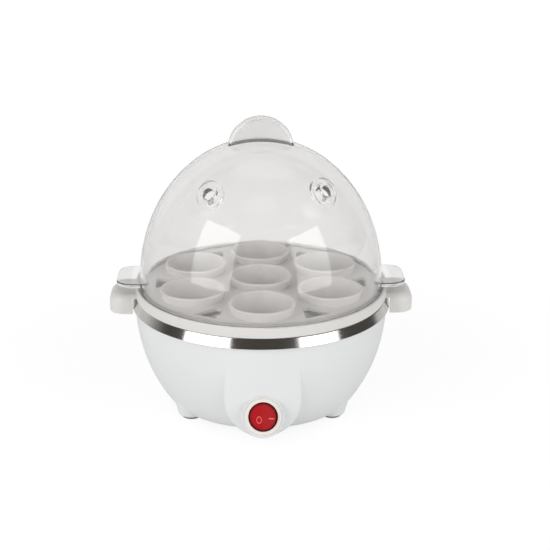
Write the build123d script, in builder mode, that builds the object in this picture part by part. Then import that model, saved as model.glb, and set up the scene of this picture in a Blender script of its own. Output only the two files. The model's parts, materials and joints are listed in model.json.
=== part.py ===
"""Electric egg cooker: a bowl base with a heated steel dish, an egg tray and a clear domed lid.

The front faces -Y, +Z is up, and the origin lies on the bowl's axis on the table. Millimetres.
"""

import os
from math import asin, cos, degrees, radians, sin, sqrt, tan

from build123d import *

os.makedirs("parts", exist_ok=True)

# Fits that serve the whole cooker
slip_gap = 0.3
running_gap = 0.08
seat_gap = 0.1
overrun = 5.0

# Steel rim: its radius drives every size in plan
rim_radius = 81.6

# Bowl of the base: an elliptical wall under a short straight neck
bowl_half_height = 92.6
bowl_floor_z = 4.0
bowl_mid_z = 66.0
bowl_top_z = 69.7
bowl_wall = 2.4
bowl_edge_round = 1.0
bowl_mouth_round = 1.7

# Feet and the legs that carry them
foot_circle_radius_share = 0.66912
foot_angle = 54.0
pad_height = 2.6
pad_radius = 6.2
pad_seat_depth = 1.0
pad_round = 0.8
leg_low_radius = 8.0
leg_high_radius = 12.2
leg_height = 16.0
leg_round = 2.0

# Front fairing above and around the switch
fairing_half_width = 23.2
fairing_low_z = 6.5
fairing_set_back = 0.2
fairing_draft = 3.0
fairing_round = 2.0

# Round rocker switch in its tilted collar
switch_tilt = 20.0
switch_stand_out = 1.6
switch_z = 22.8
collar_radius = 12.6
collar_length = 24.0
collar_low_z = 5.0
collar_lip = 1.0
collar_straight = 4.0
collar_flare = 1.6
collar_flare_depth = 12.0
collar_edge_round = 0.5
switch_flange_radius = 10.9
switch_flange_height = 1.5
switch_flange_round = 0.6
switch_tube_radius = 9.7
switch_depth = 14.5
switch_floor = 1.5
aperture_radius = 8.8
rocker_throw = 22.0
rocker_pivot_depth = 1.6
rocker_face_height = 2.6
rocker_skirt = 4.0
trunnion_radius = 1.2
trunnion_reach = 9.3
stem_radius = 3.2
stem_length = 1.6
plunger_radius = 1.5
plunger_tip_round = 0.7
spring_bore_radius = 0.8
plunger_reach = 7.2
plunger_length = 3.4
spring_length = 2.2
arm_length = 11.6
arm_width = 4.0
arm_corner = 1.3
arm_sheet = 0.6
arm_throw = 16.0
arm_rest_gap = 0.8
arm_pivot_radius = 0.7
blade_width = 4.8
blade_sheet = 0.8
blade_tail = 7.0
blade_spacing = 6.0
contact_radius = 1.4
lamp_radius = 1.5
lamp_length = 8.0
lamp_offset = 5.2
lamp_height = 3.4
lamp_saddle_length = 4.0

# Cord gland at the back
gland_z = 22.0
gland_boss_radius = 9.5
gland_boss_proud = 1.2
gland_flange_radius = 8.0
gland_flange_height = 2.4
gland_nose_length = 9.0
gland_nose_radius = 6.4
gland_tip_radius = 5.2
gland_shank_radius = 5.5
gland_bore_radius = 3.5
gland_nut_height = 3.2
gland_nut_radius = 8.4
gland_nut_sides = 6
gland_shank_overhang = 1.6

# Bottom cover, its seat in the floor and its screws
cover_radius_share = 0.53554
cover_sheet = 2.2
cover_ledge_width = 6.0
cover_ledge_height = 2.4
cover_ledge_overlap = 2.5
cover_slot_count = 10
cover_slot_length_share = 0.18383
cover_slot_width = 2.6
cover_slot_circle_radius_share = 0.29412
cover_screw_circle_radius_share = 0.49755
cover_screw_count = 4
cover_screw_turn = 45.0
cover_screw_radius = 1.5
cover_screw_length = 8.6
cover_screw_head_radius = 2.9
cover_screw_head_height = 1.8
cover_screw_head_sink = 1.0
cover_post_radius = 3.6
cover_post_height = 7.5
screw_slot_width = 0.7
screw_slot_depth = 0.8
screw_head_round_share = 0.33

# Steel heating dish and its seal
rim_lean = 2.4
rim_overhang = 2.0
rim_ledge_width = 6.2
rim_height = 6.0
dish_sheet = 0.8
dish_floor_radius_share = 0.80882
dish_depth = 18.0
dish_rim_round = 0.9
dish_mouth_round = 1.6
dish_floor_round = 7.0
gasket_width = 1.2
gasket_set_back = 1.5
gasket_height = 1.5

# Columns, standoffs and long screws that hold the dish down
column_circle_radius_share = 0.61275
column_count = 3
column_radius = 4.6
column_shoulder = 15.0
standoff_radius = 4.0
standoff_height = 8.4
dish_screw_radius = 1.9
dish_screw_bite = 5.6
dish_screw_head_radius = 3.3
dish_screw_head_height = 2.4
dish_screw_well_radius = 3.7

# Aluminium heat spreader with its ring element
spreader_radius_share = 0.44118
spreader_sheet = 3.0
element_circle_radius_share = 0.34313
element_radius = 3.2
element_sweep = 300.0
element_saddle_half_width = 4.4
element_saddle_depth = 2.6
insulator_radius = 3.0
insulator_length_share = 0.06127
pin_radius = 1.4
pin_length_share = 0.07353

# Snap-disc thermostat under the spreader
thermostat_cap_radius_share = 0.10049
thermostat_cap_height = 4.0
thermostat_flange_radius_share = 0.11764
thermostat_flange_sheet = 0.9
thermostat_body_radius_share = 0.09314
thermostat_body_height = 8.0
thermostat_blade_width = 6.3
thermostat_blade_length = 9.0
thermostat_blade_offset = 3.5
strap_length_share = 0.49019
strap_width_share = 0.2451
strap_sheet = 1.0
strap_round = 5.0
strap_screw_offset_share = 0.19607
strap_boss_radius = 3.2
strap_screw_radius = 1.5
strap_screw_bite = 3.2
strap_screw_head_radius = 2.8
strap_screw_head_height = 1.8

# Thermal fuse in its saddle clip under the dish
fuse_radius = 2.1
fuse_length_share = 0.17157
fuse_lead_radius = 0.6
fuse_lead_length_share = 0.06127
fuse_y_share = 0.55147
fuse_drop = 3.6
clip_length = 8.0
clip_width = 7.0
clip_height = 6.6

# Inner wires
wire_radius = 1.1
wire_bend = 5.0
tight_wire_bend = 2.5
core_offset = 1.6
core_exit_run = 9.0
wire_lead = 6.0
live_wire_x_share = 0.18383
live_wire_z = 12.5
live_turn_front_y_share = -0.2696
live_turn_back_y_share = 0.46569
neutral_run_out = 4.2
neutral_rise_z = 40.0
neutral_run_in_share = 0.04902
fuse_wire_x_share = 0.2451
fuse_wire_z = 30.0
fuse_turn_front_y_share = -0.14706
heater_wire_z = 20.0
switched_wire_z = 13.0
switched_turn_y_share = -0.2696
fuse_pin_share = 0.27
lamp_pin_share = 0.73

# Egg tray
tray_rim_height = 6.5
tray_rim_wall = 1.6
tray_floor_drop = 1.0
tray_floor_sheet = 2.0
tray_rim_round = 0.6
tray_locator_gap = 2.0
tray_locator_wall = 1.8
tray_locator_depth = 3.0
egg_circle_radius_share = 0.59314
outer_seat_count = 6
ear_count = 2
cup_top_radius_share = 0.22549
cup_low_radius_share = 0.18872
cup_wall = 1.9
cup_rise = 5.5
cup_drop = 6.0
cup_lip_round = 0.7
steam_slot_inner_share = 0.63113
steam_slot_outer_share = 0.81495
steam_slot_inner_half_width_share = 0.02328
steam_slot_outer_half_width_share = 0.11519
steam_slot_round = 1.2
tray_ear_length = 16.3
tray_ear_half_width = 15.5
tray_ear_corner = 9.5
tray_ear_drop = 12.0
tray_ear_lift = 0.4
tray_ear_wall = 2.0
tray_ear_round = 5.0

# Lid
lid_step_in = 3.1
lid_dome_height = 87.8
lid_skirt_height = 4.7
lid_wall = 1.8
lid_foot_width = 1.2
lid_foot_height = 2.0
lid_ear_length = 14.4
lid_ear_half_width = 18.0
lid_ear_corner = 10.0
lid_ear_low_drop = 2.0
lid_ear_sheet = 2.8
lid_ear_round = 1.0
fin_half_width = 20.2
fin_height = 20.0
fin_sink = 5.6
fin_thickness = 9.0
fin_round = 2.2
fin_inner_round = 0.4
vent_angle = 40.1
vent_circle_radius_share = 0.63235
vent_turn = 4.5
vent_axis_rise = 32.0
vent_lip_radius = 9.4
vent_lip_wall = 0.9
vent_lip_rise = 1.6
vent_lip_round = 0.3
vent_groove_rise = 0.4
vent_neck_radius = 6.4
vent_tip_radius = 5.6
vent_rise = 3.4
vent_root = 6.0
vent_hole_radius = 3.8
vent_tip_round = 0.7

# Sizes in plan, worked out from the rim
bowl_radius = rim_radius - rim_overhang
dish_mouth_radius = rim_radius - rim_ledge_width
gasket_outer_radius = bowl_radius - gasket_set_back
gasket_inner_radius = gasket_outer_radius - gasket_width
fairing_radius = bowl_radius - fairing_set_back
switch_reach = bowl_radius + switch_stand_out
tray_radius = rim_radius - rim_lean
tray_locator_radius = dish_mouth_radius - tray_locator_gap
tray_ear_reach = tray_radius + tray_ear_length
lid_radius = tray_radius - lid_step_in
lid_foot_radius = lid_radius + lid_foot_width
lid_ear_reach = lid_radius + lid_ear_length
cover_radius = rim_radius * cover_radius_share
cover_slot_length = rim_radius * cover_slot_length_share
cover_slot_circle_radius = rim_radius * cover_slot_circle_radius_share
cover_screw_circle_radius = rim_radius * cover_screw_circle_radius_share
foot_circle_radius = rim_radius * foot_circle_radius_share
column_circle_radius = rim_radius * column_circle_radius_share
spreader_radius = rim_radius * spreader_radius_share
element_circle_radius = rim_radius * element_circle_radius_share
insulator_length = rim_radius * insulator_length_share
pin_length = rim_radius * pin_length_share
thermostat_cap_radius = rim_radius * thermostat_cap_radius_share
thermostat_flange_radius = rim_radius * thermostat_flange_radius_share
thermostat_body_radius = rim_radius * thermostat_body_radius_share
strap_length = rim_radius * strap_length_share
strap_width = rim_radius * strap_width_share
strap_screw_offset = rim_radius * strap_screw_offset_share
fuse_length = rim_radius * fuse_length_share
fuse_lead_length = rim_radius * fuse_lead_length_share
fuse_y = rim_radius * fuse_y_share
live_wire_x = rim_radius * live_wire_x_share
fuse_wire_x = rim_radius * fuse_wire_x_share
fuse_turn_front_y = rim_radius * fuse_turn_front_y_share
live_turn_front_y = rim_radius * live_turn_front_y_share
live_turn_back_y = rim_radius * live_turn_back_y_share
switched_turn_y = rim_radius * switched_turn_y_share
neutral_run_in = rim_radius * neutral_run_in_share
egg_circle_radius = rim_radius * egg_circle_radius_share
cup_top_radius = rim_radius * cup_top_radius_share
cup_low_radius = rim_radius * cup_low_radius_share
steam_slot_inner = rim_radius * steam_slot_inner_share
steam_slot_outer = rim_radius * steam_slot_outer_share
steam_slot_inner_half_width = rim_radius * steam_slot_inner_half_width_share
steam_slot_outer_half_width = rim_radius * steam_slot_outer_half_width_share
vent_circle_radius = rim_radius * vent_circle_radius_share
dish_floor_radius = rim_radius * dish_floor_radius_share


def bowl_radius_at(inset, z):
    """Radius of the bowl's wall at height z, with the wall moved inwards by inset."""
    return (bowl_radius - inset) * sqrt(1 - ((bowl_mid_z - z) / (bowl_half_height - inset)) ** 2)


gland_boss_reach = bowl_radius_at(0, gland_z + gland_flange_radius) + gland_boss_proud
gland_boss_inner_reach = bowl_radius_at(bowl_wall, gland_z - gland_nut_radius) - slip_gap

# Heights and places worked out from the sizes above
leg_low_z = pad_height - pad_seat_depth
rim_top_z = bowl_top_z + gasket_height + dish_sheet
dish_floor_z = rim_top_z - dish_depth
dish_under_z = dish_floor_z - dish_sheet
spreader_under_z = dish_under_z - spreader_sheet
element_z = spreader_under_z - element_radius - seat_gap
element_gap_half_angle = (360 - element_sweep) / 2
standoff_low_z = dish_under_z - standoff_height
cover_top_z = bowl_floor_z + bowl_wall
cover_low_z = cover_top_z - cover_sheet
cover_recess_radius = cover_radius + slip_gap
ledge_inner_radius = cover_recess_radius - cover_ledge_width
ledge_outer_radius = cover_recess_radius + cover_ledge_overlap
tray_top_z = rim_top_z + tray_rim_height
tray_floor_z = tray_top_z - tray_floor_drop
tray_floor_under_z = tray_floor_z - tray_floor_sheet
lid_low_z = tray_floor_z
lid_mid_z = lid_low_z + lid_skirt_height
lid_apex_z = lid_mid_z + lid_dome_height
fin_mid_z = lid_apex_z - fin_sink

foot_x = foot_circle_radius * sin(radians(foot_angle))
foot_y = foot_circle_radius * cos(radians(foot_angle))
foot_places = {
    "front_left": (-foot_x, -foot_y),
    "front_right": (foot_x, -foot_y),
    "rear_left": (-foot_x, foot_y),
    "rear_right": (foot_x, foot_y),
}

switch_out = Vector(0, -cos(radians(switch_tilt)), sin(radians(switch_tilt)))
switch_up = Vector(0, sin(radians(switch_tilt)), cos(radians(switch_tilt)))
switch_plane = Plane(origin=(0, -switch_reach, switch_z), x_dir=(1, 0, 0), z_dir=switch_out)
gland_plane = Plane(origin=(0, gland_boss_reach, gland_z), x_dir=(-1, 0, 0), z_dir=(0, 1, 0))


def tilted(depth, angle):
    """A plane on the switch's axis, below the collar's face, turned about the switch's upright line."""
    turn = radians(angle)
    across = Vector(1, 0, 0) * cos(turn) - switch_out * sin(turn)
    outward = switch_out * cos(turn) + Vector(1, 0, 0) * sin(turn)
    return Plane(origin=switch_plane.origin - switch_out * depth, x_dir=across, z_dir=outward)


def ellipse_arc(mid_z, half_width, half_height, start_angle, end_angle):
    """Draws an exact arc of an ellipse about the axis as one weighted curve with three poles."""
    half_span = radians(end_angle - start_angle) / 2
    middle = radians(end_angle + start_angle) / 2
    start = (half_width * cos(radians(start_angle)), mid_z + half_height * sin(radians(start_angle)))
    end = (half_width * cos(radians(end_angle)), mid_z + half_height * sin(radians(end_angle)))
    pole = (half_width * cos(middle) / cos(half_span), mid_z + half_height * sin(middle) / cos(half_span))
    Bezier(start, pole, end, weights=[1, cos(half_span), 1])


def bowl_solid(inset, low_z, high_z):
    """The bowl filled in, with its wall moved inwards by inset."""
    half_width = bowl_radius - inset
    half_height = bowl_half_height - inset
    low_angle = degrees(asin((low_z - bowl_mid_z) / half_height))
    low_radius = bowl_radius_at(inset, low_z)
    with BuildPart() as bowl:
        with BuildSketch(Plane.XZ):
            with BuildLine():
                Line((0, low_z), (low_radius, low_z))
                ellipse_arc(bowl_mid_z, half_width, half_height, low_angle, 0)
                Polyline((half_width, bowl_mid_z), (half_width, high_z), (0, high_z), (0, low_z))
            make_face()
        revolve(axis=Axis.Z)
    return bowl.part


def fairing_solid(inset):
    """The front fairing filled in: a tongue with a round lower end, cut to a slightly conical front."""
    half_width = fairing_half_width - inset
    arc_z = fairing_low_z + fairing_half_width
    top_radius = fairing_radius - inset
    low_radius = top_radius - (bowl_mid_z - fairing_low_z) * tan(radians(fairing_draft))
    with BuildPart() as fairing:
        with BuildSketch(Plane.XZ):
            with BuildLine():
                Line((-half_width, arc_z), (-half_width, bowl_mid_z))
                Line((-half_width, bowl_mid_z), (half_width, bowl_mid_z))
                Line((half_width, bowl_mid_z), (half_width, arc_z))
                CenterArc((0, arc_z), half_width, 180, 180)
            make_face()
        extrude(amount=fairing_radius + overrun)
        with BuildSketch(Plane.XZ):
            Polygon(
                (0, fairing_low_z),
                (low_radius, fairing_low_z),
                (top_radius, bowl_mid_z),
                (0, bowl_mid_z),
                align=None,
            )
        revolve(axis=Axis.Z, mode=Mode.INTERSECT)
        front_edges = fairing.faces().sort_by(Axis.Y)[0].edges().sort_by(Axis.Z)[:-1]
        fillet(front_edges, radius=fairing_round)
    return fairing.part


def dome_solid(inset, low_z):
    """The lid's dome filled in, with its wall moved inwards by inset and straight sides down to low_z."""
    half_width = lid_radius - inset
    half_height = lid_dome_height - inset
    with BuildPart() as dome:
        with BuildSketch(Plane.XZ):
            with BuildLine():
                Line((0, lid_mid_z + half_height), (0, low_z))
                Polyline((0, low_z), (half_width, low_z), (half_width, lid_mid_z))
                ellipse_arc(lid_mid_z, half_width, half_height, 0, 90)
            make_face()
        revolve(axis=Axis.Z)
    return dome.part


def fin_solid(inset, edge_round):
    """The upright half-round fin on the lid, filled in, with its faces moved inwards by inset."""
    with BuildPart() as fin:
        with BuildSketch(Plane.XZ):
            with Locations((0, fin_mid_z)):
                Ellipse(fin_half_width - inset, fin_height - inset)
        extrude(amount=fin_thickness / 2 - inset, both=True)
        rims = fin.faces().sort_by(Axis.Y)[0].edges() + fin.faces().sort_by(Axis.Y)[-1].edges()
        fillet(rims, radius=edge_round)
    return fin.part


def ear_outline(reach, half_width, corner):
    """A sketch of one rounded tab that points along +X from the bowl's axis."""
    with BuildSketch(Plane.XY) as outline:
        with Locations((reach / 2, 0)):
            Rectangle(reach, 2 * half_width)
        outer_corners = outline.vertices().group_by(Axis.X)[-1]
        fillet(outer_corners, radius=corner)
    return outline.sketch


def cup_cone(radius_gain, rise, drop):
    """A cone along an egg seat's axis, parallel to the seat's wall and radius_gain outside it."""
    slope = (cup_top_radius - cup_low_radius) / (cup_rise + tray_floor_sheet + cup_drop)
    high_z = tray_floor_z + cup_rise
    low_z = tray_floor_under_z - cup_drop
    with BuildPart() as cone:
        with BuildSketch(Plane.XZ):
            Polygon(
                (0, low_z - drop),
                (cup_low_radius + radius_gain - slope * drop, low_z - drop),
                (cup_top_radius + radius_gain + slope * rise, high_z + rise),
                (0, high_z + rise),
                align=None,
            )
        revolve(axis=Axis.Z)
    return cone.part


def slotted_screw(head_z, shank_radius, shank_length, head_radius, head_height):
    """An upright screw whose head hangs below head_z, with its shank above."""
    with BuildPart() as screw:
        with BuildSketch(Plane.XY.offset(head_z - head_height)):
            Circle(head_radius)
        extrude(amount=head_height)
        fillet(screw.edges().group_by(Axis.Z)[0], radius=head_height * screw_head_round_share)
        with BuildSketch(Plane.XY.offset(head_z)):
            Circle(shank_radius)
        extrude(amount=shank_length)
        with BuildSketch(Plane.XY.offset(head_z - head_height)):
            Rectangle(2 * head_radius, screw_slot_width)
        extrude(amount=screw_slot_depth, mode=Mode.SUBTRACT)
    return screw.part


def wire(points, bend):
    """An insulated wire along straight runs joined by arcs."""
    with BuildPart() as lead:
        with BuildLine() as route:
            FilletPolyline(*points, radius=bend)
        with BuildSketch(Plane(origin=route.line @ 0, z_dir=route.line % 0)):
            Circle(wire_radius)
        sweep()
    return lead.part


def save(part, name):
    """Labels one finished piece and writes it."""
    part.label = name
    export_step(part, f"parts/{name}.step")


# Base shell: bowl, fairing, switch collar, legs, cover seat, posts and columns in one moulding
bowl_filled = bowl_solid(0, bowl_floor_z, bowl_top_z)
bowl_inside = bowl_solid(bowl_wall, cover_top_z, bowl_top_z + overrun)
fairing_outside = fairing_solid(0)
fairing_inside = fairing_solid(bowl_wall)
column_top_z = standoff_low_z
column_places = PolarLocations(column_circle_radius, column_count)
cover_screw_places = PolarLocations(cover_screw_circle_radius, cover_screw_count, cover_screw_turn)

with BuildPart() as bowl_outside:
    add(bowl_filled)
    fillet(bowl_outside.edges().group_by(Axis.Z)[0], radius=bowl_edge_round)
    fillet(bowl_outside.edges().group_by(Axis.Z)[-1], radius=bowl_mouth_round)

collar_side = Plane(origin=switch_plane.origin, x_dir=(1, 0, 0), z_dir=-switch_up)
with BuildPart() as collar:
    with BuildSketch(collar_side):
        with BuildLine():
            Polyline(
                (collar_radius + collar_flare, -collar_flare_depth),
                (collar_radius + collar_flare, -collar_length),
                (0, -collar_length),
                (0, 0),
                (collar_radius, 0),
                (collar_radius, -collar_lip),
            )
            Bezier(
                (collar_radius, -collar_lip),
                (collar_radius, -collar_lip - collar_straight),
                (collar_radius + collar_flare, -collar_flare_depth),
            )
        make_face()
    revolve(axis=Axis(switch_plane.origin, switch_out))
    fillet(collar.edges().sort_by(Axis(switch_plane.origin, switch_out))[-1], radius=collar_edge_round)
    split(bisect_by=Plane.XY.offset(collar_low_z), keep=Keep.TOP)

with BuildPart() as leg:
    with BuildSketch(Plane.XY.offset(leg_low_z)):
        Circle(leg_low_radius)
    with BuildSketch(Plane.XY.offset(leg_low_z + leg_height)):
        Circle(leg_high_radius)
    loft()
    fillet(leg.edges().group_by(Axis.Z)[0], radius=leg_round)

with BuildPart() as base_shell:
    add(bowl_outside.part)
    add(fairing_outside)
    add(collar.part)
    with BuildSketch(switch_plane):
        Circle(collar_radius)
    extrude(amount=overrun, mode=Mode.SUBTRACT)
    with BuildSketch(gland_plane):
        Circle(gland_boss_radius)
    extrude(amount=-(gland_boss_reach - gland_boss_inner_reach))
    with Locations(*foot_places.values()):
        add(leg.part)
    add(bowl_inside, mode=Mode.SUBTRACT)
    add(fairing_inside, mode=Mode.SUBTRACT)
    with BuildSketch(Plane.XY.offset(cover_top_z)):
        Circle(ledge_outer_radius)
    extrude(amount=cover_ledge_height)
    with BuildSketch(Plane.XY.offset(bowl_floor_z)):
        Circle(cover_recess_radius)
    extrude(amount=cover_top_z - bowl_floor_z, mode=Mode.SUBTRACT)
    with BuildSketch(Plane.XY.offset(cover_top_z)):
        Circle(ledge_inner_radius)
    extrude(amount=cover_ledge_height, mode=Mode.SUBTRACT)
    with BuildSketch(Plane.XY.offset(cover_top_z)):
        with cover_screw_places:
            Circle(cover_post_radius)
    extrude(amount=cover_post_height)
    with BuildSketch(Plane.XY.offset(cover_top_z)):
        with cover_screw_places:
            Circle(cover_screw_radius + running_gap)
    extrude(amount=cover_post_height, mode=Mode.SUBTRACT)
    with BuildSketch(Plane.XY.offset(cover_top_z)):
        with column_places:
            Circle(column_radius)
    extrude(amount=column_top_z - cover_top_z)
    with BuildSketch(Plane.XY.offset(bowl_floor_z)):
        with column_places:
            Circle(dish_screw_well_radius)
    extrude(amount=column_top_z - column_shoulder - bowl_floor_z, mode=Mode.SUBTRACT)
    with BuildSketch(Plane.XY.offset(bowl_floor_z)):
        with column_places:
            Circle(dish_screw_radius + seat_gap)
    extrude(amount=column_top_z - bowl_floor_z, mode=Mode.SUBTRACT)
    with BuildSketch(gland_plane.offset(gland_boss_inner_reach - gland_boss_reach)):
        Circle(gland_boss_radius)
    extrude(amount=gland_boss_reach - gland_boss_inner_reach)
    with BuildSketch(gland_plane):
        Circle(gland_shank_radius + seat_gap)
    extrude(amount=gland_boss_inner_reach - gland_boss_reach - overrun, mode=Mode.SUBTRACT)
    with BuildSketch(switch_plane):
        Circle(switch_tube_radius + slip_gap)
    extrude(amount=-(switch_depth + overrun), mode=Mode.SUBTRACT)
    with BuildSketch(Plane.XY.offset(leg_low_z)):
        with Locations(*foot_places.values()):
            Circle(pad_radius + seat_gap)
    extrude(amount=pad_seat_depth, mode=Mode.SUBTRACT)
save(base_shell.part, "base_shell")

# Soft pads under the four legs
for place_name, place in foot_places.items():
    with BuildPart() as foot_pad:
        with BuildSketch(Plane.XY):
            with Locations(place):
                Circle(pad_radius)
        extrude(amount=pad_height)
        fillet(foot_pad.edges().group_by(Axis.Z)[0], radius=pad_round)
    save(foot_pad.part, f"foot_pad_{place_name}")

# Bottom cover with its air slots and screw seats
with BuildPart() as bottom_cover:
    with BuildSketch(Plane.XY.offset(cover_low_z)):
        Circle(cover_radius)
        with cover_screw_places:
            Circle(cover_screw_radius + seat_gap, mode=Mode.SUBTRACT)
        with PolarLocations(cover_slot_circle_radius, cover_slot_count):
            SlotOverall(cover_slot_length, cover_slot_width, mode=Mode.SUBTRACT)
    extrude(amount=cover_sheet)
    with BuildSketch(Plane.XY.offset(cover_low_z)):
        with cover_screw_places:
            Circle(cover_screw_head_radius + seat_gap)
    extrude(amount=cover_screw_head_sink, mode=Mode.SUBTRACT)
save(bottom_cover.part, "bottom_cover")

cover_screw = slotted_screw(
    cover_low_z + cover_screw_head_sink,
    cover_screw_radius,
    cover_screw_length,
    cover_screw_head_radius,
    cover_screw_head_height,
)
with BuildPart() as cover_screws:
    with cover_screw_places:
        add(cover_screw)
save(cover_screws.part, "cover_screws")

# Steel heating dish: one pressed sheet from the rolled rim to the flat floor
with BuildPart() as heating_dish:
    with BuildSketch(Plane.XZ):
        with BuildLine():
            FilletPolyline(
                (rim_radius, rim_top_z - rim_height),
                (rim_radius - rim_lean, rim_top_z),
                (dish_mouth_radius, rim_top_z),
                (dish_floor_radius, dish_floor_z),
                (0, dish_floor_z),
                radius=[dish_rim_round, dish_mouth_round, dish_floor_round],
            )
            offset(amount=dish_sheet, side=Side.LEFT)
        make_face()
    revolve(axis=Axis.Z)
save(heating_dish.part, "heating_dish")

with BuildPart() as dish_gasket:
    with BuildSketch(Plane.XY.offset(bowl_top_z)):
        Circle(gasket_outer_radius)
        Circle(gasket_inner_radius, mode=Mode.SUBTRACT)
    extrude(amount=gasket_height)
save(dish_gasket.part, "dish_gasket")

# Threaded standoffs welded under the dish, and the long screws that come up the columns
with BuildPart() as dish_standoffs:
    with BuildSketch(Plane.XY.offset(standoff_low_z)):
        with column_places:
            Circle(standoff_radius)
            Circle(dish_screw_radius + running_gap, mode=Mode.SUBTRACT)
    extrude(amount=standoff_height)
save(dish_standoffs.part, "dish_standoffs")

dish_screw = slotted_screw(
    column_top_z - column_shoulder,
    dish_screw_radius,
    column_shoulder + dish_screw_bite,
    dish_screw_head_radius,
    dish_screw_head_height,
)
with BuildPart() as dish_screws:
    with column_places:
        add(dish_screw)
save(dish_screws.part, "dish_screws")

# Aluminium spreader under the dish, with a saddle for the ring element and two strap bosses
strap_top_z = spreader_under_z - thermostat_cap_height
start_plane = Plane.XZ.rotated((0, 0, element_gap_half_angle - 90))
with BuildPart() as heat_spreader:
    with BuildSketch(Plane.XY.offset(spreader_under_z)):
        Circle(spreader_radius)
    extrude(amount=spreader_sheet)
    with BuildSketch(start_plane):
        with Locations((element_circle_radius, spreader_under_z - element_saddle_depth / 2)):
            Rectangle(2 * element_saddle_half_width, element_saddle_depth)
    revolve(axis=Axis.Z, revolution_arc=element_sweep)
    with BuildSketch(Plane.XY.offset(strap_top_z)):
        with Locations((-strap_screw_offset, 0), (strap_screw_offset, 0)):
            Circle(strap_boss_radius)
    extrude(amount=thermostat_cap_height)
    with BuildSketch(Plane.XY.offset(strap_top_z)):
        with Locations((-strap_screw_offset, 0), (strap_screw_offset, 0)):
            Circle(strap_screw_radius + running_gap)
    extrude(amount=strap_screw_bite + seat_gap, mode=Mode.SUBTRACT)
    with BuildSketch(Plane.XZ):
        with Locations((element_circle_radius, element_z)):
            Circle(element_radius + seat_gap)
    revolve(axis=Axis.Z, mode=Mode.SUBTRACT)
save(heat_spreader.part, "heat_spreader")

# Ring element, open towards the front, with an insulator and a pin on each end
with BuildPart() as heating_element:
    with BuildSketch(start_plane):
        with Locations((element_circle_radius, element_z)):
            Circle(element_radius)
    revolve(axis=Axis.Z, revolution_arc=element_sweep)
save(heating_element.part, "heating_element")

element_end_x = element_circle_radius * sin(radians(element_gap_half_angle))
element_end_y = -element_circle_radius * cos(radians(element_gap_half_angle))
right_run = Vector(-cos(radians(element_gap_half_angle)), -sin(radians(element_gap_half_angle)), 0)
left_run = Vector(-right_run.X, right_run.Y, 0)
right_end = Plane(origin=(element_end_x, element_end_y, element_z), z_dir=right_run)
left_end = Plane(origin=(-element_end_x, element_end_y, element_z), z_dir=left_run)

with BuildPart() as element_insulators:
    with BuildSketch(right_end, left_end):
        Circle(insulator_radius)
    extrude(amount=insulator_length)
save(element_insulators.part, "element_insulators")

with BuildPart() as element_pins:
    with BuildSketch(right_end.offset(insulator_length), left_end.offset(insulator_length)):
        Circle(pin_radius)
    extrude(amount=pin_length)
save(element_pins.part, "element_pins")

# Thermostat: metal cap against the spreader, moulded body, blades, strap and screws
with BuildPart() as thermostat_cap:
    with BuildSketch(Plane.XY.offset(strap_top_z)):
        Circle(thermostat_flange_radius)
    extrude(amount=thermostat_flange_sheet)
    with BuildSketch(Plane.XY.offset(strap_top_z)):
        Circle(thermostat_cap_radius)
    extrude(amount=thermostat_cap_height)
save(thermostat_cap.part, "thermostat_cap")

with BuildPart() as thermostat_body:
    with BuildSketch(Plane.XY.offset(strap_top_z)):
        Circle(thermostat_body_radius)
    extrude(amount=-thermostat_body_height)
save(thermostat_body.part, "thermostat_body")

thermostat_low_z = strap_top_z - thermostat_body_height
with BuildPart() as thermostat_blades:
    with BuildSketch(Plane.XY.offset(thermostat_low_z)):
        with Locations((-thermostat_blade_offset, 0), (thermostat_blade_offset, 0)):
            Rectangle(blade_sheet, thermostat_blade_width)
    extrude(amount=-thermostat_blade_length)
save(thermostat_blades.part, "thermostat_blades")

with BuildPart() as thermostat_strap:
    with BuildSketch(Plane.XY.offset(strap_top_z)):
        RectangleRounded(strap_length, strap_width, strap_round)
        Circle(thermostat_body_radius + slip_gap, mode=Mode.SUBTRACT)
        with Locations((-strap_screw_offset, 0), (strap_screw_offset, 0)):
            Circle(strap_screw_radius + seat_gap, mode=Mode.SUBTRACT)
    extrude(amount=-strap_sheet)
save(thermostat_strap.part, "thermostat_strap")

strap_screw = slotted_screw(
    strap_top_z - strap_sheet,
    strap_screw_radius,
    strap_sheet + strap_screw_bite,
    strap_screw_head_radius,
    strap_screw_head_height,
)
with BuildPart() as thermostat_screws:
    with Locations((-strap_screw_offset, 0), (strap_screw_offset, 0)):
        add(strap_screw)
save(thermostat_screws.part, "thermostat_screws")

# Thermal fuse and the saddle clip that holds it to the dish
fuse_z = dish_under_z - fuse_drop
fuse_plane = Plane(origin=(0, fuse_y, fuse_z), x_dir=(0, 1, 0), z_dir=(1, 0, 0))
with BuildPart() as thermal_fuse:
    with BuildSketch(fuse_plane):
        Circle(fuse_radius)
    extrude(amount=fuse_length / 2, both=True)
    with BuildSketch(fuse_plane):
        Circle(fuse_lead_radius)
    extrude(amount=fuse_length / 2 + fuse_lead_length, both=True)
save(thermal_fuse.part, "thermal_fuse")

with BuildPart() as fuse_clip:
    with BuildSketch(Plane.XY.offset(dish_under_z)):
        with Locations((0, fuse_y)):
            Rectangle(clip_length, clip_width)
    extrude(amount=-clip_height)
    with BuildSketch(fuse_plane):
        Circle(fuse_radius + seat_gap)
    extrude(amount=clip_length, both=True, mode=Mode.SUBTRACT)
save(fuse_clip.part, "fuse_clip")

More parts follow.
